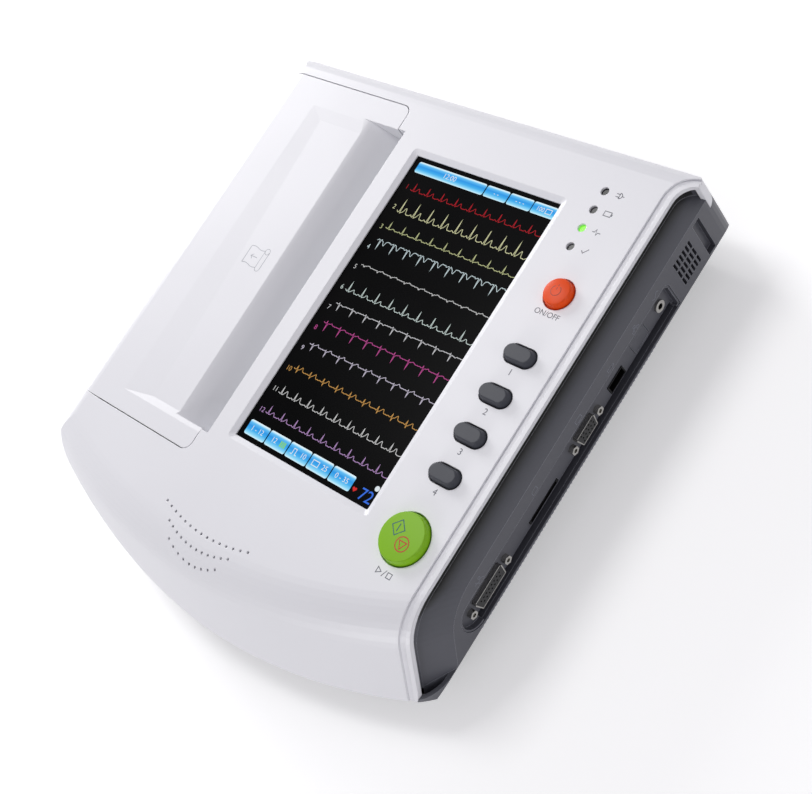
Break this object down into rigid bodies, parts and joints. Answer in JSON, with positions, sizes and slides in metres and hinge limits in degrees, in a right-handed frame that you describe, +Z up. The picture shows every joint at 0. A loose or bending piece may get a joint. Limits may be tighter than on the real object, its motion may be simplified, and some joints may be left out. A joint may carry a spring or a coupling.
{
  "type": "electrocardiograph",
  "caption": "Portable desk electrocardiograph with a portrait screen, a key column, a clamshell thermal printer door with paper trough, and a recessed side connector channel.",
  "frame": {"origin": "centre of the footprint's bounding box, on the table under the rubber feet", "axes": "+X towards the side with the connectors (the user's right), +Y from the rounded front to the back wall, the longest extent, +Z up, the shortest extent"},
  "size_m": [0.32, 0.3439, 0.0767],
  "materials": {
    "shell_white": "light texture moulded ABS, off-white",
    "housing_charcoal": "fine spark texture moulded ABS, charcoal",
    "key_grey": "smooth moulded keys, dark grey",
    "button_orange": "glossy moulded button, orange",
    "button_green": "glossy moulded button, green",
    "screen_black": "display window, black when off",
    "sheet_steel": "plated sheet steel",
    "steel_rod": "ground and plated steel",
    "port_shell": "nickel-plated connector shells",
    "board_green": "glass-epoxy circuit board with parts",
    "black_plastic": "black moulded parts",
    "lamp_green": "clear light pipes",
    "rubber_black": "black rubber",
    "gear_white": "natural acetal",
    "brass_part": "brass",
    "head_ceramic": "glazed ceramic thermal head",
    "alloy_sink": "extruded aluminium",
    "paper_white": "thermal paper",
    "card_brown": "cardboard tube",
    "cell_blue": "shrink-wrapped battery",
    "ribbon_amber": "flexible flat cable"
  },
  "bodies": {
    "base": {"upper_cover": "shell_white", "lower_housing": "housing_charcoal", "battery_cover": "housing_charcoal", "rubber_feet": "rubber_black", "housing_screws": "steel_rod", "screen_window": "screen_black", "lcd_module": "sheet_steel", "lcd_bracket": "sheet_steel", "inner_screws": "steel_rod", "key_board": "board_green", "key_switches": "black_plastic", "status_lenses": "lamp_green", "main_board": "board_green", "ecg_shield": "sheet_steel", "power_supply": "board_green", "mains_inlet": "black_plastic", "earth_terminal": "brass_part", "battery_pack": "cell_blue", "speaker": "black_plastic", "connector_panel": "housing_charcoal", "ecg_connector": "port_shell", "vga_connector": "port_shell", "jackscrews": "steel_rod", "usb_port": "port_shell", "card_slot": "port_shell", "network_port": "port_shell", "signal_jack": "port_shell", "printer_frame": "sheet_steel", "printer_motor": "black_plastic", "idler_axle": "steel_rod", "head_pivot_rod": "steel_rod", "tear_bar": "sheet_steel", "hinge_pins": "steel_rod", "lcd_ribbon": "ribbon_amber", "key_ribbon": "ribbon_amber"},
    "door": {"paper_door": "shell_white", "platen_brackets": "sheet_steel", "platen_bushings": "gear_white"},
    "platen": {"platen_roller": "rubber_black", "platen_shaft": "steel_rod", "platen_gear": "gear_white"},
    "idler": {"idler_gear": "gear_white"},
    "motor": {"motor_pinion": "brass_part", "motor_shaft": "steel_rod"},
    "roll": {"paper_roll": "paper_white", "paper_core": "card_brown", "paper_spindle": "black_plastic"},
    "head": {"thermal_head": "head_ceramic", "head_heatsink": "alloy_sink", "head_springs": "steel_rod"},
    "port_cover": {"network_cover": "housing_charcoal"},
    "power": {"power_button": "button_orange"},
    "start": {"start_button": "button_green"},
    "key_a": {"key_1": "key_grey"},
    "key_b": {"key_2": "key_grey"},
    "key_c": {"key_3": "key_grey"},
    "key_d": {"key_4": "key_grey"}
  },
  "joints": [
    {"name": "door_hinge", "type": "hinge", "parent": "base", "child": "door", "pos_m": [-0.155, 0, 0.057], "axis": [0, -1, 0], "range_deg": [0, 95]},
    {"name": "platen_spin", "type": "hinge", "parent": "door", "child": "platen", "pos_m": [-0.0568, 0, 0.0415], "axis": [0, 1, 0], "continuous": true},
    {"name": "idler_spin", "type": "hinge", "parent": "base", "child": "idler", "pos_m": [-0.06115, 0, 0.02527], "axis": [0, 1, 0], "continuous": true},
    {"name": "motor_spin", "type": "hinge", "parent": "base", "child": "motor", "pos_m": [-0.07629, 0, 0.02395], "axis": [0, 1, 0], "continuous": true},
    {"name": "roll_spin", "type": "hinge", "parent": "base", "child": "roll", "pos_m": [-0.121, 0, 0.033], "axis": [0, 1, 0], "continuous": true},
    {"name": "head_float", "type": "hinge", "parent": "base", "child": "head", "pos_m": [-0.05063, 0, 0.02693], "axis": [0, 1, 0], "range_deg": [0, 0.8], "stiffness_Nm_per_rad": 0.5},
    {"name": "network_flap", "type": "hinge", "parent": "base", "child": "port_cover", "pos_m": [0.155, 0, 0.04115], "axis": [0, -1, 0], "range_deg": [0, 100]},
    {"name": "power_press", "type": "slide", "parent": "base", "child": "power", "axis": [0, 0, -1], "range_m": [0, 0.0012], "stiffness_N_per_m": 60},
    {"name": "start_press", "type": "slide", "parent": "base", "child": "start", "axis": [0, 0, -1], "range_m": [0, 0.0012], "stiffness_N_per_m": 60},
    {"name": "key_1_press", "type": "slide", "parent": "base", "child": "key_a", "axis": [0, 0, -1], "range_m": [0, 0.0012], "stiffness_N_per_m": 60},
    {"name": "key_2_press", "type": "slide", "parent": "base", "child": "key_b", "axis": [0, 0, -1], "range_m": [0, 0.0012], "stiffness_N_per_m": 60},
    {"name": "key_3_press", "type": "slide", "parent": "base", "child": "key_c", "axis": [0, 0, -1], "range_m": [0, 0.0012], "stiffness_N_per_m": 60},
    {"name": "key_4_press", "type": "slide", "parent": "base", "child": "key_d", "axis": [0, 0, -1], "range_m": [0, 0.0012], "stiffness_N_per_m": 60}
  ],
  "couplings": [
    {"joint": "idler_spin", "follows": "platen_spin", "ratio": -0.75},
    {"joint": "motor_spin", "follows": "platen_spin", "ratio": 1.2857}
  ]
}
